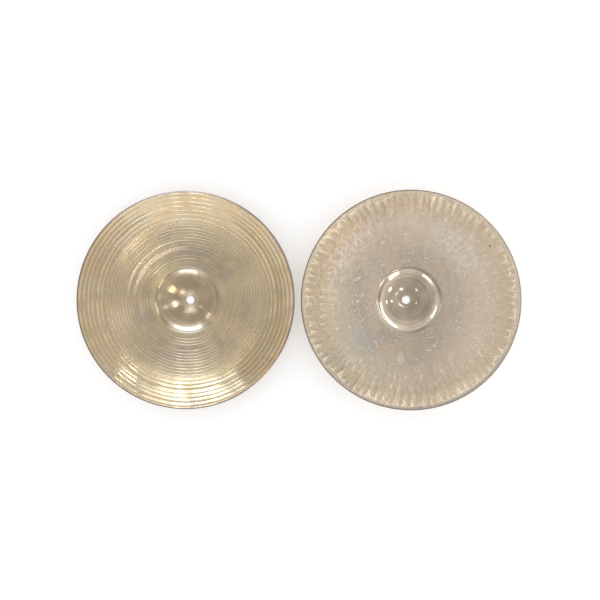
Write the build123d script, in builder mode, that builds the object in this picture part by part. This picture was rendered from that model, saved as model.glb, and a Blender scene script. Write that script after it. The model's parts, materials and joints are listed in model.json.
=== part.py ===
from build123d import *
import math
import os

os.makedirs("parts", exist_ok=True)

# A pair of 14-inch cymbals lying side by side on their bells, hollow side up.
# Millimetres, +Z up, floor at Z = 0, the pair centred on the origin in plan.

# ---- both cymbals -------------------------------------------------------
hole_r = 7.0           # centre hole for a stand rod
hole_chamfer = 0.3     # broken edge of the hole, both faces
land_r = 10.0          # flat land round the hole; the cymbal rests on it
rim_gap = 9.8          # clear distance between the two rims

# ---- lathed cymbal, on the -X side --------------------------------------
lathed_rim_r = 177.5
lathed_bell = (51.5, 41.0, 6.0)   # end radius of the crown arc, its slope there, fillet radius outside it
lathed_slopes = (5.0, 11.0)       # slope of the bow at the bell and at the rim, degrees
lathed_hub_thk = 1.5              # thickness of the bell
lathed_rim_thk = 0.9              # thickness at the rim
groove_tool_r = 2.5               # round nose of the lathe tool
groove_depth = 0.10
bell_grooves_r = [64.7, 69.6, 74.2, 84.0, 89.5]              # loose rings near the bell
bow_grooves_r = [94.0 + 4.9 * i for i in range(8)]           # even main band
rim_grooves_r = [134.1 + 6.7 * i for i in range(7)]          # coarser band out to the rim

# ---- hammered cymbal, on the +X side: deeper and heavier ----------------
hammered_rim_r = 178.5
hammered_bell = (51.0, 42.0, 6.0)
hammered_slopes = (6.5, 13.0)
hammered_hub_thk = 1.9
hammered_rim_thk = 1.1

# ---- positions ----------------------------------------------------------
pair_length = 2 * lathed_rim_r + rim_gap + 2 * hammered_rim_r
lathed_x = -pair_length / 2 + lathed_rim_r
hammered_x = pair_length / 2 - hammered_rim_r


def heading(deg):
    """Unit vector that climbs outward at a slope of deg."""
    return (math.cos(math.radians(deg)), math.sin(math.radians(deg)))


def face_chain(bell, z_hub, offset, bow_start_deg):
    """Land, bell and fillet of one face; offset is its distance above the lower face."""
    wall_r, wall_deg, fillet_r = bell
    crown_r = (wall_r - land_r) / math.sin(math.radians(wall_deg))
    land = Line((hole_r + hole_chamfer, z_hub), (land_r, z_hub))
    crown = JernArc(land @ 1, (1, 0), crown_r - offset, wall_deg)
    return land, JernArc(crown @ 1, heading(wall_deg), fillet_r + offset, bow_start_deg - wall_deg)


def cymbal_section(rim_r, bell, slopes, hub_thk, rim_thk):
    """Half section of a cymbal in r and z. Returns its lower and upper bow curves."""
    start_deg, end_deg = slopes
    rim_centre_r = rim_r - rim_thk / 2
    lower_land, lower_fillet = face_chain(bell, 0, 0, start_deg)
    foot = lower_fillet @ 1
    climb = math.sin(math.radians(end_deg)) - math.sin(math.radians(start_deg))
    lower_bow = JernArc(foot, heading(start_deg), (rim_centre_r - foot.X) / climb, end_deg - start_deg)
    upper_land, upper_fillet = face_chain(bell, hub_thk, hub_thk, start_deg)
    rim_low = lower_bow @ 1
    rim_high = rim_low + Vector(0, rim_thk)
    upper_bow = TangentArc(upper_fillet @ 1, rim_high, tangent=heading(start_deg))
    ThreePointArc(rim_low, rim_low + Vector(rim_thk / 2, rim_thk / 2), rim_high)
    low_chamfer = Line(lower_land @ 0, (hole_r, hole_chamfer))
    high_chamfer = Line(upper_land @ 0, (hole_r, hub_thk - hole_chamfer))
    Line(low_chamfer @ 1, high_chamfer @ 1)
    return lower_bow, upper_bow


def arc_point(arc, r):
    """Point of a circular arc at radius r from the cymbal's axis, on the arc's low side."""
    centre = arc.arc_center
    drop = math.sqrt(arc.radius**2 - (r - centre.X) ** 2)
    return Vector(r, centre.Y - drop), Vector((centre.X - r) / arc.radius, drop / arc.radius)


# ---- lathed cymbal ------------------------------------------------------
lathed_plane = Plane.XZ.shift_origin((lathed_x, 0, 0))
lathed_axis = Axis((lathed_x, 0, 0), (0, 0, 1))

with BuildPart() as lathed_cymbal:
    with BuildSketch(lathed_plane):
        with BuildLine():
            lathed_lower, lathed_upper = cymbal_section(
                lathed_rim_r, lathed_bell, lathed_slopes, lathed_hub_thk, lathed_rim_thk
            )
        make_face()
    revolve(axis=lathed_axis)
    with BuildSketch(lathed_plane):
        for groove_r in bell_grooves_r + bow_grooves_r + rim_grooves_r:
            for bow, side in ((lathed_upper, 1), (lathed_lower, -1)):
                point, normal = arc_point(bow, groove_r)
                with Locations(point + normal * (side * (groove_tool_r - groove_depth))):
                    Circle(groove_tool_r)
    revolve(axis=lathed_axis, mode=Mode.SUBTRACT)
lathed_cymbal.part.label = "lathed_cymbal"
export_step(lathed_cymbal.part, "parts/lathed_cymbal.step")

# ---- hammered cymbal ----------------------------------------------------
hammered_plane = Plane.XZ.shift_origin((hammered_x, 0, 0))
hammered_axis = Axis((hammered_x, 0, 0), (0, 0, 1))

with BuildPart() as hammered_cymbal:
    with BuildSketch(hammered_plane):
        with BuildLine():
            hammered_lower, hammered_upper = cymbal_section(
                hammered_rim_r, hammered_bell, hammered_slopes, hammered_hub_thk, hammered_rim_thk
            )
        make_face()
    revolve(axis=hammered_axis)
hammered_cymbal.part.label = "hammered_cymbal"
export_step(hammered_cymbal.part, "parts/hammered_cymbal.step")
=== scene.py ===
"""A pair of 14-inch cymbals lying on their bells, hollow side up, seen from straight above.

Each cymbal is one closed mesh that replaces its CAD solid. Lengths are in metres unless said otherwise.
"""
import json
import math
from types import SimpleNamespace

import bpy
import numpy as np
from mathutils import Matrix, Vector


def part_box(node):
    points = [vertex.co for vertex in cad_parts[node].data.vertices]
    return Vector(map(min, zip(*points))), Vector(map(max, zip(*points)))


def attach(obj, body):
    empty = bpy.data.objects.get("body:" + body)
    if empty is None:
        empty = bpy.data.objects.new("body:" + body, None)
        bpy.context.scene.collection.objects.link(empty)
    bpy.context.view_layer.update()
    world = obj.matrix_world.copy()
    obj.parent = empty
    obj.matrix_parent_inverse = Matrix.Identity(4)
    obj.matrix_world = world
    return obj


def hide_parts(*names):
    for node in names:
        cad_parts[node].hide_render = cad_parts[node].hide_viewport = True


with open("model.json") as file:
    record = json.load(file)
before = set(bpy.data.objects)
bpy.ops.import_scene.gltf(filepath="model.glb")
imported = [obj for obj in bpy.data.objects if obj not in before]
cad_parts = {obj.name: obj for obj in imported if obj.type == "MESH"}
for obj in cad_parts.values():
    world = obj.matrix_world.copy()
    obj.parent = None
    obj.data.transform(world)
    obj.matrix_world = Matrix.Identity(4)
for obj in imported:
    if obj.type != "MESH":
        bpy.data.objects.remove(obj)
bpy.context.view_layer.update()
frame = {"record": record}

MM = 0.001
mounts = {m["name"]: m for m in frame["record"]["mounts"]}

# ---- section of both cymbals, as in the CAD model --------------------------------------
CHAMFER = 0.3 * MM
LAND_R = 10.0 * MM


class Section:
    """Heights of a cymbal's lower and upper face at a radius, and the radii where they change curve.

    bell is the crown arc's end radius, its slope there in degrees and the radius of the fillet outside it.
    slopes are the bow's, in degrees, at the bell and at the rim.
    """

    def __init__(self, node, hole, bell, slopes, hub_thk, rim_thk):
        low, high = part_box(node)
        self.x, self.y, _ = mounts[hole]["pos_m"]
        self.hole_r = mounts[hole]["dims"]["r_mm"] * MM
        self.rim_r = (high[1] - low[1]) / 2
        self.hub_thk = hub_thk
        self.rim_thk = rim_thk
        self.rim_c = self.rim_r - rim_thk / 2
        wall_r, wall_deg, self.fillet_r = bell
        start, wall, end = (math.radians(a) for a in (slopes[0], wall_deg, slopes[1]))
        self.start, self.wall = start, wall
        self.crown_r = (wall_r - LAND_R) / math.sin(wall)
        reach = self.crown_r + self.fillet_r
        self.fillet_c = (LAND_R + reach * math.sin(wall), self.crown_r - reach * math.cos(wall))
        foot = self.fillet_end(0.0)
        bow_r = (self.rim_c - foot[0]) / (math.sin(end) - math.sin(start))
        self.low_bow = (foot[0] - bow_r * math.sin(start), foot[1] + bow_r * math.cos(start), bow_r)
        self.rim_z = self.low_bow[1] - math.sqrt(bow_r**2 - (self.rim_c - self.low_bow[0]) ** 2)
        foot = self.fillet_end(hub_thk)
        run, rise = self.rim_c - foot[0], self.rim_z + rim_thk - foot[1]
        top_r = (run**2 + rise**2) / (2 * (rise * math.cos(start) - run * math.sin(start)))
        self.high_bow = (foot[0] - top_r * math.sin(start), foot[1] + top_r * math.cos(start), top_r)

    def fillet_end(self, offset):
        """Where the fillet meets the bow, on the face that is offset above the lower one."""
        r = self.fillet_r + offset
        return (self.fillet_c[0] - r * math.sin(self.start), self.fillet_c[1] + r * math.cos(self.start))

    def height(self, r, upper):
        """Height of one face at the radii r."""
        offset = self.hub_thk if upper else 0.0
        crown = self.crown_r - offset
        fillet = self.fillet_r + offset
        bow_x, bow_z, bow_r = self.high_bow if upper else self.low_bow
        on_crown = self.crown_r - np.sqrt(np.maximum(crown**2 - np.maximum(r - LAND_R, 0) ** 2, 0))
        on_fillet = self.fillet_c[1] + np.sqrt(np.maximum(fillet**2 - (r - self.fillet_c[0]) ** 2, 0))
        on_bow = bow_z - np.sqrt(bow_r**2 - (r - bow_x) ** 2)
        inner = np.where(r < LAND_R + crown * math.sin(self.wall), on_crown, on_fillet)
        return np.where(r < self.fillet_end(offset)[0], inner, on_bow)


# ---- mesh of a cymbal ------------------------------------------------------------------
LAND_STEP = 1.0 * MM  # distance between rings on the land, the crown and the bell's wall
CROWN_STEP = 2.4 * MM
WALL_STEP = 0.9 * MM
WALL_BAND = 3 * MM  # outermost part of the crown, which has the wall's rings
RING_CLEAR = 0.3  # a bow ring nearer to an extra one than this share of its step is dropped
RIM_TURNS_DEG = (25, 50, 75, 105, 130, 155)  # rings over the rounded rim, from straight up
MARK_FADE = 1.5 * MM  # the tool marks fade out over this distance before the rounded rim


def spaced(start, end, step):
    """Evenly spaced radii from start up to, but not at, end."""
    count = max(1, round((end - start) / step))
    return [start + (end - start) * i / count for i in range(count)]


def face_rings(section, bow_step, extra=()):
    """Radii of one face's rings, hole to rim, with the extra ones merged in."""
    wall_r = LAND_R + section.crown_r * math.sin(section.wall) - WALL_BAND
    fillet_out = section.fillet_c[0]
    rings = spaced(section.hole_r + CHAMFER, LAND_R, LAND_STEP)
    rings += spaced(LAND_R, wall_r, CROWN_STEP)
    rings += spaced(wall_r, fillet_out, WALL_STEP)
    rings += spaced(fillet_out, section.rim_c, bow_step) + [section.rim_c]
    clear = RING_CLEAR * bow_step
    rings = [r for r in rings if r < fillet_out or all(abs(r - e) > clear for e in extra)]
    return np.array(sorted(rings + list(extra)))


def build_cymbal(name, section, segments, upper_rings, lower_rings, upper_shape, lower_shape, attribute):
    """Closed skin of one cymbal: upper face, rounded rim, lower face, hole wall.

    upper_shape and lower_shape give two things over a face: the depth of its marks, into the metal, and the
    0 to 1 value that each vertex keeps for the material under the attribute's name.
    """
    turn = np.arange(segments) * (2 * math.pi / segments)

    def face(rings, upper, shape):
        r, t = np.meshgrid(rings, turn, indexing="ij")
        dent, mark = shape(r, t)
        z = section.height(r, upper)
        fade = np.clip((section.rim_c - r) / MARK_FADE, 0, 1)
        z = z - dent * fade if upper else z + dent * fade
        return np.stack([section.x + r * np.cos(t), section.y + r * np.sin(t), z], axis=-1), mark

    def ring(r, z):
        level = np.full(segments, z)
        return np.stack([section.x + r * np.cos(turn), section.y + r * np.sin(turn), level], axis=-1)

    top, top_mark = face(upper_rings, True, upper_shape)
    bottom, bottom_mark = face(lower_rings[::-1], False, lower_shape)
    half = section.rim_thk / 2
    rim = [
        ring(section.rim_c + half * math.sin(a), section.rim_z + half + half * math.cos(a))
        for a in np.radians(RIM_TURNS_DEG)
    ]
    hole = [ring(section.hole_r, z) for z in (CHAMFER, section.hub_thk / 2, section.hub_thk - CHAMFER)]
    points = np.concatenate([top, np.array(rim), bottom, np.array(hole)])
    plain_rim, plain_hole = np.zeros((len(rim), segments)), np.zeros((len(hole), segments))
    values = np.concatenate([top_mark, plain_rim, bottom_mark, plain_hole])
    count = len(points)
    i, j = np.meshgrid(np.arange(count), np.arange(segments), indexing="ij")
    i2, j2 = (i + 1) % count, (j + 1) % segments
    quads = np.stack([i, i2, i2, i], -1) * segments + np.stack([j, j, j2, j2], -1)
    mesh = bpy.data.meshes.new(name)
    mesh.from_pydata(points.reshape(-1, 3).tolist(), [], quads.reshape(-1, 4).tolist())
    stored = mesh.attributes.new(attribute, "FLOAT", "POINT").data
    stored.foreach_set("value", values.reshape(-1).astype(np.float32))
    mesh.polygons.foreach_set("use_smooth", [True] * len(mesh.polygons))
    mesh.update()
    piece = bpy.data.objects.new(name, mesh)
    bpy.context.scene.collection.objects.link(piece)
    return piece


def ripples(rng, r, t, waves, shortest, longest):
    """A smooth random field over the face, spread about 1, from plane waves between the given lengths."""
    x, y = r * np.cos(t), r * np.sin(t)
    field = np.zeros_like(x)
    for _ in range(waves):
        k = 2 * math.pi / rng.uniform(shortest, longest)
        heading = rng.uniform(0, 2 * math.pi)
        field += np.cos(k * (x * math.cos(heading) + y * math.sin(heading)) + rng.uniform(0, 2 * math.pi))
    return field / math.sqrt(waves / 2)


def around(rng, t, harmonics):
    """A smooth random value that changes round the disc and joins up with itself."""
    value = np.zeros_like(t)
    for n in range(1, harmonics + 1):
        value += np.cos(n * t + rng.uniform(0, 2 * math.pi)) * rng.uniform(0.5, 1.0) / math.sqrt(n)
    return value


# ---- lathed cymbal ---------------------------------------------------------------------
lathed = Section(
    "lathed_cymbal", "lathed_hole",
    bell=(51.5 * MM, 41.0, 6.0 * MM), slopes=(5.0, 11.0), hub_thk=1.5 * MM, rim_thk=0.9 * MM,
)
LATHED_SEGMENTS = 320
LATHED_UPPER_STEP, LATHED_LOWER_STEP = 5.0 * MM, 6.0 * MM
LATHED_UPPER_SEED, LATHED_LOWER_SEED = 11, 12

BELL_GROOVES = [64.7, 69.6, 74.2, 84.0, 89.5]  # radii in millimetres, as in the CAD model
BOW_GROOVES = [94.0 + 4.9 * i for i in range(8)]
RIM_GROOVES = [134.1 + 6.7 * i for i in range(7)]
GROOVES = np.array(BELL_GROOVES + BOW_GROOVES + RIM_GROOVES) * MM
GROOVE_HALF = 0.85 * MM
GROOVE_FLOOR = 0.2  # half width of the flat floor over the groove's
GROOVE_DEPTH = 0.05 * MM
UNDERSIDE_GROOVES = 0.8  # depth of the underside's grooves over the upper face's
SHALLOWER_R, SHALLOWER = (120 * MM, 140 * MM), (1.0, 0.7)  # between these radii the grooves grow shallower
GROOVE_LEAST = 0.8  # the shallowest groove's depth over the deepest's
GROOVE_UNEVEN = 0.18  # how much a groove's depth changes round the disc, and in how many harmonics
GROOVE_HARMONICS = 5
UPPER_CUTS = (-1.0, -0.6, -0.2, 0.2, 0.6, 1.0)  # rings across a groove, in half widths
LOWER_CUTS = (-1.0, 0.0, 1.0)

STEP_DEPTH = 0.045 * MM  # each coarse pass near the rim starts this much deeper than it ends
STEP_RADII = [g * MM + side * GROOVE_HALF for g in RIM_GROOVES for side in (-1, 1)]
STEP_DENTS = [0, STEP_DEPTH] * len(RIM_GROOVES)

WAVY_DEPTH = 0.014 * MM
WAVY_COUNT = 28
WAVY_LENGTHS = (26 * MM, 60 * MM)
WAVY_FROM, WAVY_RISE = 58 * MM, 12 * MM  # the waviness starts outside the bell


def groove_rings(cuts):
    """Extra ring radii that give every groove its own section."""
    return sorted(g + cut * GROOVE_HALF for g in GROOVES for cut in cuts)


def lathed_face(seed, depth_scale):
    """Grooves, coarse turning steps near the rim and slight waviness. The mark is 1 in the grooves."""
    def shape(r, t):
        rng = np.random.default_rng(seed)
        dent = WAVY_DEPTH * ripples(rng, r, t, WAVY_COUNT, *WAVY_LENGTHS)
        dent *= np.clip((r - WAVY_FROM) / WAVY_RISE, 0, 1)
        dent += np.interp(r, STEP_RADII, STEP_DENTS)
        mark = np.zeros_like(r)
        for g in GROOVES:
            depth = GROOVE_DEPTH * depth_scale * np.interp(g, SHALLOWER_R, SHALLOWER)
            depth *= GROOVE_LEAST + (1 - GROOVE_LEAST) * rng.random()
            depth = depth * (1 + GROOVE_UNEVEN * around(rng, t, GROOVE_HARMONICS))
            cut = np.clip((1 - np.abs(r - g) / GROOVE_HALF) / (1 - GROOVE_FLOOR), 0, 1)
            dent += depth * cut
            mark = np.maximum(mark, cut)
        return dent, mark
    return shape


lathed_piece = build_cymbal(
    "lathed_cymbal_skin", lathed, LATHED_SEGMENTS,
    face_rings(lathed, LATHED_UPPER_STEP, groove_rings(UPPER_CUTS)),
    face_rings(lathed, LATHED_LOWER_STEP, groove_rings(LOWER_CUTS)),
    lathed_face(LATHED_UPPER_SEED, 1.0), lathed_face(LATHED_LOWER_SEED, UNDERSIDE_GROOVES), "groove",
)

# ---- hammered cymbal -------------------------------------------------------------------
hammered = Section(
    "hammered_cymbal", "hammered_hole",
    bell=(51.0 * MM, 42.0, 6.0 * MM), slopes=(6.5, 13.0), hub_thk=1.9 * MM, rim_thk=1.1 * MM,
)
HAMMERED_SEGMENTS = 720
HAMMERED_UPPER_STEP, HAMMERED_LOWER_STEP = 2.6 * MM, 5.0 * MM
HAMMERED_UPPER_SEED, HAMMERED_LOWER_SEED = 21, 22

BLOWS_ROUND = 90
BLOW_ROWS = (
    # radius of the row over the rim's, half length, half width and depth in mm, share that landed, taper
    (0.893, 13.5, 6.2, 0.42, 1.0, 0.5),
    (0.800, 8.0, 5.2, 0.26, 0.7, 0.15),
    (0.705, 6.0, 4.4, 0.20, 0.6, 0.15),
    (0.630, 5.0, 4.0, 0.10, 0.3, 0.15),
)
BLOW_SHIFT = 0.28  # most that a blow is out of place round the disc, over the distance between blows
BLOW_DRIFT_MM = 1.2  # spread of its radius
BLOW_LONG, BLOW_WIDE, BLOW_DEEP = (0.65, 1.2), (0.85, 1.1), (0.6, 1.2)  # its size over the row's
BLOW_LEAN = 0.15
UNDERSIDE_BLOWS = 0.5  # depth of the underside's blows over the upper face's
WORN_BEARING, WORN_WIDTH = math.radians(92), math.radians(10)  # here the blows hardly show
WORN_AWAY = 0.8

DENTED_DEPTH = 0.06 * MM
DENTED_COUNT = 40
DENTED_LENGTHS = (16 * MM, 44 * MM)
DENTED_FROM, DENTED_RISE = 60 * MM, 14 * MM  # the uneven surface starts outside the bell


def hammered_face(seed, depth_scale):
    """Rows of radial hammer blows, narrower towards the rim. The mark is 1 on the ridges between them."""
    def shape(r, t):
        rng = np.random.default_rng(seed)
        dent = DENTED_DEPTH * ripples(rng, r, t, DENTED_COUNT, *DENTED_LENGTHS)
        dent *= np.clip((r - DENTED_FROM) / DENTED_RISE, 0, 1)
        pit = np.zeros_like(r)
        inside = np.zeros_like(r)
        ridge = np.zeros_like(r)
        for row, half_len, half_wid, depth, share, taper in BLOW_ROWS:
            for blow in range(BLOWS_ROUND):
                at = (blow + rng.uniform(-BLOW_SHIFT, BLOW_SHIFT)) * 2 * math.pi / BLOWS_ROUND
                row_r = hammered.rim_r * row + rng.normal(0, BLOW_DRIFT_MM) * MM
                long = half_len * MM * rng.uniform(*BLOW_LONG)
                wide = half_wid * MM * rng.uniform(*BLOW_WIDE)
                deep = depth * MM * rng.uniform(*BLOW_DEEP) * depth_scale
                lean = rng.uniform(-BLOW_LEAN, BLOW_LEAN)
                if rng.random() > share:
                    continue
                # u runs along the blow, -1 to 1 outward; v is 0 on its middle line and 1 at its widest edge
                off = (t - at + math.pi) % (2 * math.pi) - math.pi
                u = (r - row_r) / long
                v = np.abs(off * r + lean * (r - row_r)) / wide
                outward = np.clip((u + 1) / 2, 0, 1)
                across = np.clip(1 - (v / (1 - taper * outward**3)) ** 2, 0, 1)
                along = np.clip((u + 1) / 0.9, 0, 1) * np.clip((1 - u) / 0.3, 0, 1)
                pit = np.maximum(pit, deep * across * along)
                inside = np.maximum(inside, across * along)
                # metal stands up beside the blow's outer end, and less along its flanks
                beside = np.clip((1.4 - v) / 0.4, 0, 1)
                reaches = np.clip((0.8 + 0.8 * taper - u) / 0.2, 0, 1)
                cusp = beside * reaches * outward**1.5
                flank = (0.9 - 1.0 * taper) * np.exp(-(((v - 1) / 0.25) ** 2)) * along
                ridge = np.maximum(ridge, np.maximum(cusp, flank))
        worn = 1 - WORN_AWAY * np.exp(-(((t - WORN_BEARING) / WORN_WIDTH) ** 2))
        return dent + pit * worn, ridge * worn * np.clip(1 - 4 * inside, 0, 1)
    return shape


hammered_piece = build_cymbal(
    "hammered_cymbal_skin", hammered, HAMMERED_SEGMENTS,
    face_rings(hammered, HAMMERED_UPPER_STEP),
    face_rings(hammered, HAMMERED_LOWER_STEP),
    hammered_face(HAMMERED_UPPER_SEED, 1.0), hammered_face(HAMMERED_LOWER_SEED, UNDERSIDE_BLOWS), "blow",
)


# ---- node helpers ----------------------------------------------------------------------
class Nodes:
    """Short calls for the nodes of a material or of the world."""

    def __init__(self, owner, shader):
        owner.use_nodes = True
        self.owner = owner
        self.tree = owner.node_tree
        self.shader = self.tree.nodes[shader]

    def put(self, socket, value):
        if isinstance(value, bpy.types.NodeSocket):
            self.tree.links.new(value, socket)
        elif isinstance(value, tuple) and len(value) == 3 and socket.type == "RGBA":
            socket.default_value = (*value, 1.0)
        else:
            socket.default_value = value

    def add(self, kind, out=0, settings=None, **inputs):
        """One output of a new node. Its inputs are given by name, or by number as i0, i1 and so on."""
        node = self.tree.nodes.new(kind)
        for key, value in (settings or {}).items():
            setattr(node, key, value)
        for key, value in inputs.items():
            self.put(node.inputs[int(key[1:]) if key[1:].isdigit() else key], value)
        return node.outputs[out]

    def math(self, operation, a, b=0.0, c=0.0):
        return self.add("ShaderNodeMath", settings={"operation": operation}, i0=a, i1=b, i2=c)

    def vector(self, operation, a, b=(0.0, 0.0, 0.0), out=0):
        return self.add("ShaderNodeVectorMath", out, {"operation": operation}, i0=a, i1=b)

    def length(self, vector):
        return self.vector("LENGTH", vector, out=1)

    def ramp(self, value, low, high, to_low=0.0, to_high=1.0):
        """Smooth step from to_low to to_high as value goes from low to high."""
        settings = {"interpolation_type": "SMOOTHSTEP"}
        return self.add("ShaderNodeMapRange", 0, settings, i0=value, i1=low, i2=high, i3=to_low, i4=to_high)

    def noise(self, vector, scale, detail=3.0, roughness=0.55):
        inputs = {"Vector": vector, "Scale": scale, "Detail": detail, "Roughness": roughness}
        return self.add("ShaderNodeTexNoise", **inputs)

    def mix(self, factor, a, b):
        """A number between a and b."""
        return self.add("ShaderNodeMix", 0, i0=factor, i2=a, i3=b)

    def blend(self, factor, a, b, mode="MIX"):
        """A colour between a and b."""
        return self.add("ShaderNodeMix", 2, {"data_type": "RGBA", "blend_type": mode}, i0=factor, i6=a, i7=b)

    def product(self, *values):
        total = values[0]
        for value in values[1:]:
            total = self.math("MULTIPLY", total, value)
        return total

    def paint(self, colour, where, amount, over):
        """The colour with another laid over it, by at most amount, where the mask is 1."""
        return self.blend(self.math("MULTIPLY", where, amount), colour, over)

    def shade(self, colour, amount, level):
        """The colour made lighter or darker by a level, and amount of that."""
        return self.blend(amount, colour, level, "MULTIPLY")


OBJECT_COORDINATES = 3
METALLIC = 0.85
QUARTER_TURN = 0.25  # the brushed grain runs round the disc
# the chatter marks, and the glints and shade painted on them, lie toward this bearing only
CHATTER_BEARING, CHATTER_WIDTH = 132, 52


class CymbalNodes(Nodes):
    """Nodes of a cymbal's material, with the place on the disc worked out."""

    def __init__(self, name, section):
        super().__init__(bpy.data.materials.new(name), "Principled BSDF")
        here = self.add("ShaderNodeTexCoord", OBJECT_COORDINATES)
        self.place = self.vector("SUBTRACT", here, (section.x, section.y, 0.0))
        flat = self.vector("MULTIPLY", self.place, (1.0, 1.0, 0.0))
        self.radius = self.length(flat)
        self.share = self.math("DIVIDE", self.radius, section.rim_r)  # 1 at the rim
        self.direction = self.vector("NORMALIZE", flat)
        self.climb = self.add("ShaderNodeCombineXYZ", i2=self.radius)

    def zone(self, low, high, to_low=0.0, to_high=1.0):
        """A ramp along the radius, which is given over the rim's."""
        return self.ramp(self.share, low, high, to_low, to_high)

    def toward(self, bearing, width):
        """1 at a bearing in degrees anticlockwise from +X, falling to 0 by width degrees away."""
        a = math.radians(bearing)
        facing = self.vector("DOT_PRODUCT", self.direction, (math.cos(a), math.sin(a), 0.0), out=1)
        return self.ramp(facing, math.cos(math.radians(width)), 1.0)

    def lathe_noise(self, spread, pitch):
        """Noise drawn out round the disc, with one feature per pitch along the radius."""
        scaled = self.vector("MULTIPLY", self.climb, (1.0, 1.0, 1.0 / (pitch * spread)))
        return self.noise(self.vector("ADD", self.direction, scaled), spread, 2.0)

    def frayed(self, field, amount):
        """The share of the rim's radius, moved by a noise field so that a zone's border frays."""
        return self.math("ADD", self.share, self.math("MULTIPLY", field, amount))

    def chatter(self, ring_r, half, count):
        """Marks of a tool that chattered, on a ring at ring_r with that half width.

        Gives the ring's mask, and its count of marks: 1 on the crests, where a glint is painted, -1 in the
        troughs, where shade is painted.
        """
        x = self.add("ShaderNodeSeparateXYZ", 0, i0=self.direction)
        y = self.add("ShaderNodeSeparateXYZ", 1, i0=self.direction)
        wave = self.math("SINE", self.math("MULTIPLY", self.math("ARCTAN2", y, x), float(count)))
        off = self.math("ABSOLUTE", self.math("SUBTRACT", self.radius, ring_r))
        band = self.product(self.ramp(off, half, half * 0.6), self.toward(CHATTER_BEARING, CHATTER_WIDTH))
        return band, self.product(band, wave)

    def finish_metal(self, colour, roughness, bump, anisotropy):
        """Joins the maps to the shader of metal that was turned or polished round the disc."""
        inputs = self.shader.inputs
        self.put(inputs["Base Color"], colour)
        self.put(inputs["Roughness"], roughness)
        inputs["Metallic"].default_value = METALLIC
        inputs["Anisotropic"].default_value = anisotropy
        inputs["Anisotropic Rotation"].default_value = QUARTER_TURN
        self.put(inputs["Normal"], bump)
        round_axis = {"direction_type": "RADIAL", "axis": "Z"}
        self.put(inputs["Tangent"], self.add("ShaderNodeTangent", settings=round_axis))
        return self.owner


# ---- lathed bronze ---------------------------------------------------------------------
L_TINT = SimpleNamespace(
    bronze=(0.465, 0.363, 0.226),
    aged=(0.41, 0.318, 0.198),
    yellow_glow=(0.48, 0.385, 0.215),
    smoke=(0.31, 0.25, 0.205),
    rose=(0.46, 0.335, 0.24),
    brown=(0.45, 0.335, 0.23),
    groove=(0.26, 0.19, 0.12),
    chatter=(0.72, 0.54, 0.38),
    crest_glint=(0.95, 0.74, 0.54),
    trough_shade=(0.30, 0.20, 0.14),
    cooler=(1.0, 1.04, 1.10),
    warmer=(1.08, 1.0, 0.90),
    cup=(0.40, 0.32, 0.21),
    aged_cup=(0.37, 0.28, 0.195),
    rub_and_highlight=(0.72, 0.64, 0.52),
    edge=(0.20, 0.155, 0.135),
)


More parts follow.
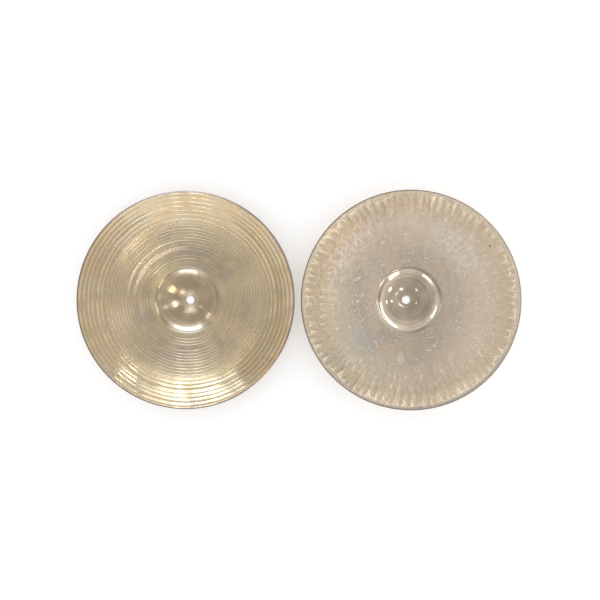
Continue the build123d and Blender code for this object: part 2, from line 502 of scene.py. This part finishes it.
def lathed_bronze():
    n = CymbalNodes("lathed_bronze_look", lathed)
    groove = n.add("ShaderNodeAttribute", "Fac", {"attribute_name": "groove"})
    bell = n.ramp(n.radius, 57.0 * MM, 52.5 * MM)
    coarse = n.zone(0.64, 0.80)  # the outer zone, turned with coarse passes
    streak = n.lathe_noise(0.6, 3.6 * MM)
    turned = n.lathe_noise(0.5, 2.6 * MM)
    cloud = n.noise(n.place, 11.0, 4.0)
    patch = n.noise(n.vector("ADD", n.place, (3.1, 1.7, 0.0)), 24.0, 5.0, 0.6)
    mottle = n.noise(n.place, 170.0, 4.0, 0.68)
    grain = n.noise(n.place, 700.0, 2.0)

    # tarnish, each layer with its own part of the disc, and a painted highlight: a yellow glow just outside
    # the bell
    colour = n.blend(n.ramp(cloud, 0.35, 0.68), L_TINT.bronze, L_TINT.aged)
    # painted highlight: a soft yellow glow on the bow just outside the bell, mostly on the west half
    yellow_glow = n.product(n.zone(0.44, 0.32), n.toward(175, 110))
    colour = n.paint(colour, yellow_glow, 0.7, L_TINT.yellow_glow)
    smoke = n.math("MAXIMUM", n.ramp(patch, 0.46, 0.66), n.product(n.toward(268, 60), 0.55))
    smoke = n.product(smoke, n.zone(0.28, 0.36), n.zone(0.75, 0.5))
    colour = n.paint(colour, smoke, 0.6, L_TINT.smoke)
    rose = n.product(n.ramp(patch, 0.56, 0.36), n.toward(185, 70), n.zone(0.35, 0.5))
    colour = n.paint(colour, rose, 0.5, L_TINT.rose)
    colour = n.paint(colour, n.ramp(n.frayed(mottle, 0.08), 0.95, 1.03), 0.35, L_TINT.brown)
    colour = n.paint(colour, groove, 0.08, L_TINT.groove)

    # two rings of chatter marks
    band, beads = n.chatter(86.8 * MM, 3.4 * MM, 180)
    ring, dots = n.chatter(99.0 * MM, 1.5 * MM, 150)
    marks = n.math("ADD", beads, dots)
    chattered = n.math("MAXIMUM", band, ring)
    # painted glint: the chatter band lighter, then painted glints on the crests and painted shade in the
    # troughs
    colour = n.paint(colour, chattered, 0.45, L_TINT.chatter)
    colour = n.blend(n.ramp(marks, 0.1, 0.7, 0.0, 0.8), colour, L_TINT.crest_glint)
    colour = n.blend(n.ramp(marks, -0.2, -0.8, 0.0, 0.6), colour, L_TINT.trough_shade)

    # fine unevenness of the whole face
    colour = n.shade(colour, 0.5, n.ramp(streak, 0.3, 0.7, 0.93, 1.05))
    speckle = n.ramp(coarse, 0.0, 1.0, 0.35, 0.2)
    colour = n.shade(colour, speckle, n.ramp(mottle, 0.3, 0.7, 0.82, 1.14))
    colour = n.shade(colour, speckle, n.ramp(grain, 0.3, 0.7, 0.88, 1.12))
    hue = n.blend(n.ramp(n.noise(n.place, 42.0, 2.0), 0.4, 0.6), L_TINT.cooler, L_TINT.warmer)
    colour = n.shade(colour, n.math("MULTIPLY", coarse, 0.5), hue)
    colour = n.shade(colour, 1.0, n.zone(0.3, 0.9, 0.89, 1.10))

    # the bell, with two parts of its wall painted lighter as highlights, and the dark edge of the rim
    cup = n.blend(n.ramp(n.noise(n.place, 35.0, 3.0), 0.4, 0.7), L_TINT.cup, L_TINT.aged_cup)
    turned_cup = n.ramp(n.radius, 25.0 * MM, 40.0 * MM, 0.0, 0.6)
    cup = n.shade(cup, turned_cup, n.ramp(turned, 0.35, 0.65, 0.84, 1.10))
    # painted highlights: the bell's wall lighter toward the north and the south, where its crescents show
    crescent_highlights = n.math("MAXIMUM", n.product(n.toward(85, 42), 0.6), n.toward(268, 46))
    cup = n.paint(cup, n.product(n.ramp(n.radius, 43.5 * MM, 47.5 * MM), crescent_highlights), 0.9, L_TINT.rub_and_highlight)
    colour = n.blend(bell, colour, cup)
    colour = n.paint(colour, n.zone(0.982, 0.994), 0.9, L_TINT.edge)

    aged = n.ramp(patch, 0.35, 0.7, 0.30, 0.42)
    aged = n.math("MULTIPLY", aged, n.ramp(chattered, 0.0, 1.0, 1.0, 0.45))
    cut = n.ramp(mottle, 0.3, 0.7, 0.055, 0.075)
    smoother_grooves = n.ramp(groove, 0.0, 0.5, 1.0, n.ramp(coarse, 0.0, 1.0, 0.24, 1.0))
    roughness = n.math("MULTIPLY", n.mix(coarse, aged, cut), smoother_grooves)
    roughness = n.mix(bell, roughness, 0.18)

    lines = n.math("ADD", streak, n.math("MULTIPLY", marks, 8.0))
    strength = n.product(n.ramp(bell, 0.0, 1.0, 0.03, 0.003), n.ramp(coarse, 0.0, 1.0, 1.0, 0.3))
    bump = n.add("ShaderNodeBump", Strength=strength, Distance=0.00025, Height=lines)
    return n.finish_metal(colour, roughness, bump, 0.85)


# ---- hammered bronze -------------------------------------------------------------------
H_TINT = SimpleNamespace(
    bronze=(0.61, 0.50, 0.385),
    aged=(0.555, 0.46, 0.36),
    green=(0.56, 0.50, 0.35),
    violet=(0.46, 0.385, 0.34),
    blue=(0.50, 0.50, 0.46),
    pink_glint=(0.78, 0.54, 0.37),
    white_glint=(0.70, 0.67, 0.64),
    pale_sheen=(0.68, 0.66, 0.65),
    tan=(0.58, 0.45, 0.29),
    ridge=(0.86, 0.73, 0.56),
    pale=(0.66, 0.54, 0.41),
    rub_and_highlight=(0.70, 0.63, 0.51),
    speck=(0.12, 0.09, 0.07),
    sparkle=(0.86, 0.78, 0.66),
    cup=(0.49, 0.41, 0.315),
    aged_cup=(0.44, 0.36, 0.28),
    wall_highlight=(0.70, 0.62, 0.50),
    lilac=(0.42, 0.365, 0.34),
    edge=(0.15, 0.13, 0.125),
)
RUBBED_AT = (-0.014, -0.095, 0.0)  # middle of the rubbed oval, from the cymbal's axis
SPECK_AT = (0.129, 0.088, 0.0)


def hammered_bronze():
    n = CymbalNodes("hammered_bronze_look", hammered)
    blow = n.add("ShaderNodeAttribute", "Fac", {"attribute_name": "blow"})
    bell = n.ramp(n.radius, 57.0 * MM, 54.5 * MM)
    cloud = n.noise(n.place, 10.0, 4.0)
    patch = n.noise(n.vector("ADD", n.place, (5.3, 2.9, 0.0)), 30.0, 5.0, 0.62)
    mottle = n.noise(n.place, 150.0, 4.0, 0.68)
    grain = n.noise(n.place, 600.0, 3.0)
    turned = n.lathe_noise(0.5, 2.4 * MM)
    drawn_out = n.vector("ADD", n.vector("MULTIPLY", n.direction, (0.032, 0.032, 0.0)), n.climb)
    flecks = n.noise(drawn_out, 420.0, 2.0, 0.6)

    # tarnish, each layer with its own part of the disc, and painted light: pink and white glints, a pale
    # sheen, and highlights on the ridges with shade off them
    colour = n.blend(n.ramp(cloud, 0.35, 0.68), H_TINT.bronze, H_TINT.aged)
    green = n.product(n.toward(205, 75), n.zone(0.4, 0.75))
    colour = n.paint(colour, green, 0.5, H_TINT.green)
    violet = n.product(n.ramp(patch, 0.4, 0.62), n.zone(0.8, 0.45))
    colour = n.paint(colour, violet, 0.6, H_TINT.violet)
    blue = n.product(n.toward(228, 32), n.ramp(patch, 0.42, 0.6), n.zone(0.35, 0.55))
    colour = n.paint(colour, blue, 0.45, H_TINT.blue)
    # painted glints: pink and orange patches near the rim toward the north-west
    pink_glint = n.product(n.toward(155, 40), n.ramp(mottle, 0.45, 0.6), n.zone(0.65, 0.8))
    colour = n.paint(colour, pink_glint, 0.75, H_TINT.pink_glint)
    # painted glints: pale bluish-white patches toward the north-west
    white_glint = n.product(n.toward(150, 42), n.ramp(mottle, 0.46, 0.60), n.zone(0.60, 0.67), n.zone(0.82, 0.74))
    colour = n.paint(colour, white_glint, 0.4, H_TINT.white_glint)
    # painted sheen: a pale greyish patch toward the north-east
    pale_sheen = n.product(n.toward(48, 30), n.ramp(mottle, 0.34, 0.74), n.zone(0.42, 0.58), n.zone(0.82, 0.72))
    colour = n.paint(colour, pale_sheen, 0.4, H_TINT.pale_sheen)
    # painted shade: near the rim, the metal off the ridges is darker and browner
    tan = n.product(n.ramp(blow, 0.4, 0.0), n.zone(0.76, 0.86), n.ramp(mottle, 0.3, 0.6, 0.6, 1.0))
    colour = n.paint(colour, tan, 0.48, H_TINT.tan)
    # painted highlight: the ridges between the blows are lighter
    ridge = n.product(n.ramp(blow, 0.1, 0.7), n.zone(0.60, 0.90, 0.7, 1.0))
    colour = n.paint(colour, ridge, 0.75, H_TINT.ridge)
    colour = n.paint(colour, n.ramp(n.frayed(mottle, 0.02), 0.965, 0.978), 0.7, H_TINT.pale)

    # one rubbed oval and one dark speck
    from_oval = n.vector("SUBTRACT", n.place, RUBBED_AT)
    to_oval = n.length(n.vector("MULTIPLY", from_oval, (1.0, 0.6, 0.0)))
    colour = n.blend(n.ramp(to_oval, 7 * MM, 5 * MM, 0.0, 0.8), colour, H_TINT.rub_and_highlight)
    from_speck = n.vector("SUBTRACT", n.place, SPECK_AT)
    to_speck = n.length(n.vector("MULTIPLY", from_speck, (1.0, 1.0, 0.0)))
    colour = n.blend(n.ramp(to_speck, 1.6 * MM, 1.0 * MM), colour, H_TINT.speck)

    # painted light: the east half lighter; then one side darker and another lighter, fine unevenness and
    # painted glints of small flecks
    # painted light: the east half lighter, as if lit from there
    level = n.ramp(n.product(n.toward(15, 120), n.zone(0.1, 0.75)), 0.0, 1.0, 1.0, 1.28)
    level = n.math("MULTIPLY", level, n.zone(0.45, 0.75, 0.91, 1.03))
    darker_west = n.product(n.toward(195, 60), n.zone(0.70, 0.88))
    lighter_south = n.product(n.toward(280, 50), n.zone(0.84, 0.92))
    level = n.product(level, n.ramp(darker_west, 0.0, 1.0, 1.0, 0.88), n.ramp(lighter_south, 0.0, 1.0, 1.0, 1.18))
    colour = n.shade(colour, 1.0, level)
    colour = n.shade(colour, 0.4, n.ramp(mottle, 0.3, 0.7, 0.84, 1.14))
    colour = n.shade(colour, 0.3, n.ramp(grain, 0.3, 0.7, 0.86, 1.14))
    # painted glints: small pale flecks on the inner bow
    painted_sparkles = n.product(n.ramp(flecks, 0.60, 0.66), n.zone(0.72, 0.55), n.ramp(patch, 0.40, 0.55))
    colour = n.paint(colour, painted_sparkles, 0.8, H_TINT.sparkle)

    # the bell, with two parts of its wall painted lighter as highlights, and the border and dark edge of the
    # rim
    cup = n.blend(n.ramp(n.noise(n.place, 40.0, 3.0), 0.4, 0.7), H_TINT.cup, H_TINT.aged_cup)
    turned_cup = n.ramp(n.radius, 25.0 * MM, 40.0 * MM, 0.0, 0.8)
    cup = n.shade(cup, turned_cup, n.ramp(turned, 0.35, 0.65, 0.76, 1.14))
    # painted highlights: the bell's wall lighter toward the south-west and the south-east
    crescent_highlights = n.math("MAXIMUM", n.toward(222, 50), n.toward(338, 40))
    cup = n.paint(cup, n.product(n.ramp(n.radius, 41.0 * MM, 47.5 * MM), crescent_highlights), 0.7, H_TINT.wall_highlight)
    colour = n.blend(bell, colour, cup)
    lilac = n.product(n.ramp(n.frayed(patch, 0.02), 0.978, 0.986), n.toward(285, 75))
    colour = n.paint(colour, lilac, 0.7, H_TINT.lilac)
    colour = n.paint(colour, n.zone(0.985, 0.996), 0.85, H_TINT.edge)

    roughness = n.math("MULTIPLY", n.ramp(patch, 0.35, 0.7, 0.32, 0.44), n.zone(0.55, 0.88, 1.0, 0.55))
    roughness = n.math("SUBTRACT", roughness, n.math("MULTIPLY", ridge, 0.12))
    roughness = n.mix(bell, roughness, 0.09)

    peened = n.noise(n.place, 330.0, 3.0, 0.7)
    strength = n.mix(bell, 0.45, n.ramp(n.radius, 25.0 * MM, 46.0 * MM, 0.05, 0.22))
    bump = n.add("ShaderNodeBump", Strength=strength, Distance=0.0004, Height=n.mix(bell, peened, turned))
    return n.finish_metal(colour, roughness, bump, 0.25)


for piece, node, look, slot in (
    (lathed_piece, "lathed_cymbal", lathed_bronze(), "lathed_bronze"),
    (hammered_piece, "hammered_cymbal", hammered_bronze(), "hammered_bronze"),
):
    piece.data.materials.append(look)
    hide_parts(node)
    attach(piece, node)

# ---- floor -----------------------------------------------------------------------------
FLOOR_HALF = 6.0
FLOOR_Z = -0.2 * MM  # just clear of the lands that the cymbals rest on
floor_mesh = bpy.data.meshes.new("floor")
corners = [(x * FLOOR_HALF, y * FLOOR_HALF, FLOOR_Z) for x, y in ((-1, -1), (1, -1), (1, 1), (-1, 1))]
floor_mesh.from_pydata(corners, [], [(0, 1, 2, 3)])
floor = bpy.data.objects.new("floor", floor_mesh)
bpy.context.scene.collection.objects.link(floor)
paint = Nodes(bpy.data.materials.new("floor_paint"), "Principled BSDF")
for socket, value in (
    ("Base Color", (0.93, 0.93, 0.93)),
    ("Roughness", 0.9),
    ("Emission Color", (1.0, 1.0, 1.0)),
    ("Emission Strength", 0.30),
):
    paint.put(paint.shader.inputs[socket], value)
floor.data.materials.append(paint.owner)

# ---- soft boxes ------------------------------------------------------------------------
# They stand in for the room that the photograph's cymbals reflect. Each lights one cymbal only.
WATTS = 4.0  # area light watts per square metre for a radiance of 1
CEILING = 2.4
WARM = (1.0, 0.97, 0.88)
YELLOW = (1.0, 0.95, 0.75)
COOL = (0.90, 0.95, 1.0)
SKY = (0.70, 0.84, 1.0)

# name, bearing and climb in degrees, distance, size, radiance, colour
LATHED_CARDS = (
    ("north_window", 101, 19, 2.4, (2.5, 0.55), 2.2, SKY),
    ("south_window", -103, 18, 2.4, (1.5, 0.45), 2.2, SKY),
    ("east_window", -6, 24, 2.4, (0.5, 0.15), 5.0, COOL),
    ("yellow_lamp", -44, 58, 2.6, (0.60, 0.45), 6.0, YELLOW),
    ("far_lamp", 28, 75, 2.4, (0.40, 0.40), 6.0, COOL),
    ("far_panel", 22, 45, 2.6, (0.35, 0.30), 2.5, COOL),
    ("west_lamp", 161, 58, 2.6, (0.12, 0.12), 6.0, WARM),
    ("bright_slit", 150, 22, 2.6, (0.45, 0.16), 6.0, COOL),
)
HAMMERED_CARDS = (
    ("long_window", 30, 9, 2.4, (2.4, 0.24), 3.6, SKY),
    ("garden_window", -49, 11, 2.4, (0.9, 0.40), 3.2, COOL),
    ("dark_side_window", -126, 20, 2.6, (1.5, 0.32), 3.8, SKY),
    ("corner_window", 150, 21, 2.6, (1.3, 0.45), 4.5, SKY),
    ("lamp_a", -24, 36, 2.8, (0.35, 0.25), 8.0, WARM),
    ("lamp_b", -39, 64, 2.4, (0.14, 0.22), 5.0, WARM),
    ("lamp_c", -107, 71, 2.4, (0.12, 0.12), 5.0, WARM),
    ("lamp_d", 4, 33, 2.8, (0.30, 0.22), 2.5, COOL),
    ("lamp_e", 3, 51, 2.6, (0.12, 0.28), 2.5, WARM),
    ("lamp_f", 10, 74, 2.4, (0.08, 0.22), 2.5, WARM),
    ("lamp_g", 107, 86, 2.4, (0.10, 0.16), 2.0, WARM),
)
# name, x, y, drop below the ceiling, size, radiance, colour. Panels at one height would hide one another.
LATHED_PANELS = (
    ("fan_glow", -0.743, 0.27, 0.02, (0.205, 0.36), 1.6, SKY),
    ("fan_bar_a", -0.718, 0.27, 0.04, (0.030, 0.36), 4.5, SKY),
    ("fan_bar_b", -0.797, 0.27, 0.04, (0.055, 0.36), 3.2, SKY),
    ("patch_lamp", -0.59, 0.15, 0.04, (0.02, 0.06), 8.0, SKY),
    ("north_glow", -0.76, -0.22, 0.0, (0.26, 0.45), 0.70, COOL),
    ("west_glow", -0.48, 0.0, 0.01, (0.45, 0.8), 0.22, COOL),
    ("south_grooves", -0.80, 0.62, 0.0, (0.8, 0.22), 2.8, COOL),
    ("corner_grooves", -0.30, -0.42, 0.02, (0.3, 0.25), 4.5, WARM),
)
HAMMERED_PANELS = (
    ("corner_blows", 1.40, -0.40, 0.0, (0.25, 0.25), 1.3, WARM),
)


def soft_box(name, place, rotation, size, radiance, colour, only):
    """An area light that the camera doesn't see and that lights one piece only."""
    data = bpy.data.lights.new(name, "AREA")
    data.shape = "RECTANGLE"
    data.size, data.size_y = size
    data.energy = radiance * WATTS * size[0] * size[1]
    data.color = colour
    lamp = bpy.data.objects.new(name, data)
    lamp.location = place
    lamp.rotation_euler = rotation
    lamp.visible_camera = False
    bpy.context.scene.collection.objects.link(lamp)
    lit = bpy.data.collections.new(name + "_lights")
    lit.objects.link(only)
    lamp.light_linking.receiver_collection = lit


def light_cards(cards, section, only):
    """Soft boxes that face the foot of one cymbal's axis, at bearings from +X and climbs above the floor."""
    for name, bearing, climb, distance, size, radiance, colour in cards:
        b, c = math.radians(bearing), math.radians(climb)
        outward = Vector((math.cos(c) * math.cos(b), math.cos(c) * math.sin(b), math.sin(c)))
        place = Vector((section.x, section.y, 0.0)) + outward * distance
        rotation = (math.radians(90 - climb), 0.0, b + math.pi / 2)
        soft_box(name, place, rotation, size, radiance, colour, only)


def ceiling_panels(panels, only):
    """Soft boxes that face straight down."""
    for name, x, y, drop, size, radiance, colour in panels:
        soft_box(name, (x, y, CEILING - drop), (0.0, 0.0, 0.0), size, radiance, colour, only)


light_cards(LATHED_CARDS, lathed, lathed_piece)
light_cards(HAMMERED_CARDS, hammered, hammered_piece)
ceiling_panels(LATHED_PANELS, lathed_piece)
ceiling_panels(HAMMERED_PANELS, hammered_piece)

# ---- surroundings ----------------------------------------------------------------------
# Bright low down and darker overhead, with soft unevenness. The camera itself sees plain white.
GENERATED_COORDINATES = 0
IS_CAMERA_RAY = 0
world = bpy.data.worlds.new("studio")
bpy.context.scene.world = world
sky = Nodes(world, "Background")
heading = sky.add("ShaderNodeTexCoord", GENERATED_COORDINATES)
height = sky.add("ShaderNodeSeparateXYZ", 2, i0=heading)
walls = sky.ramp(height, 0.1, 0.8, 1.25, 0.80)
overhead = sky.ramp(height, 0.93, 0.995, 1.0, 0.82)
uneven = sky.ramp(sky.noise(heading, 1.4, 1.0), 0.3, 0.7, 0.85, 1.15)
light = sky.product(walls, overhead, uneven)
sky.put(sky.shader.inputs["Strength"], sky.mix(sky.add("ShaderNodeLightPath", IS_CAMERA_RAY), light, 1.0))
sky.put(sky.shader.inputs["Color"], (1.0, 1.0, 1.0))

# ---- camera ----------------------------------------------------------------------------
CAMERA_HEIGHT = 0.81
CAMERA_X = 2.7 * MM  # puts the pair where it is in the photograph
LENS_MM, SENSOR_MM = 28.6, 36.0
camera_data = bpy.data.cameras.new("camera")
camera = bpy.data.objects.new("camera", camera_data)
camera_data.lens = LENS_MM
camera_data.sensor_width = SENSOR_MM
camera_data.clip_start = 10 * MM
camera.location = (CAMERA_X, 0.0, CAMERA_HEIGHT)
camera.rotation_euler = (0.0, 0.0, 0.0)  # straight down
bpy.context.scene.collection.objects.link(camera)
bpy.context.scene.camera = camera
bpy.context.scene.view_settings.view_transform = "Standard"
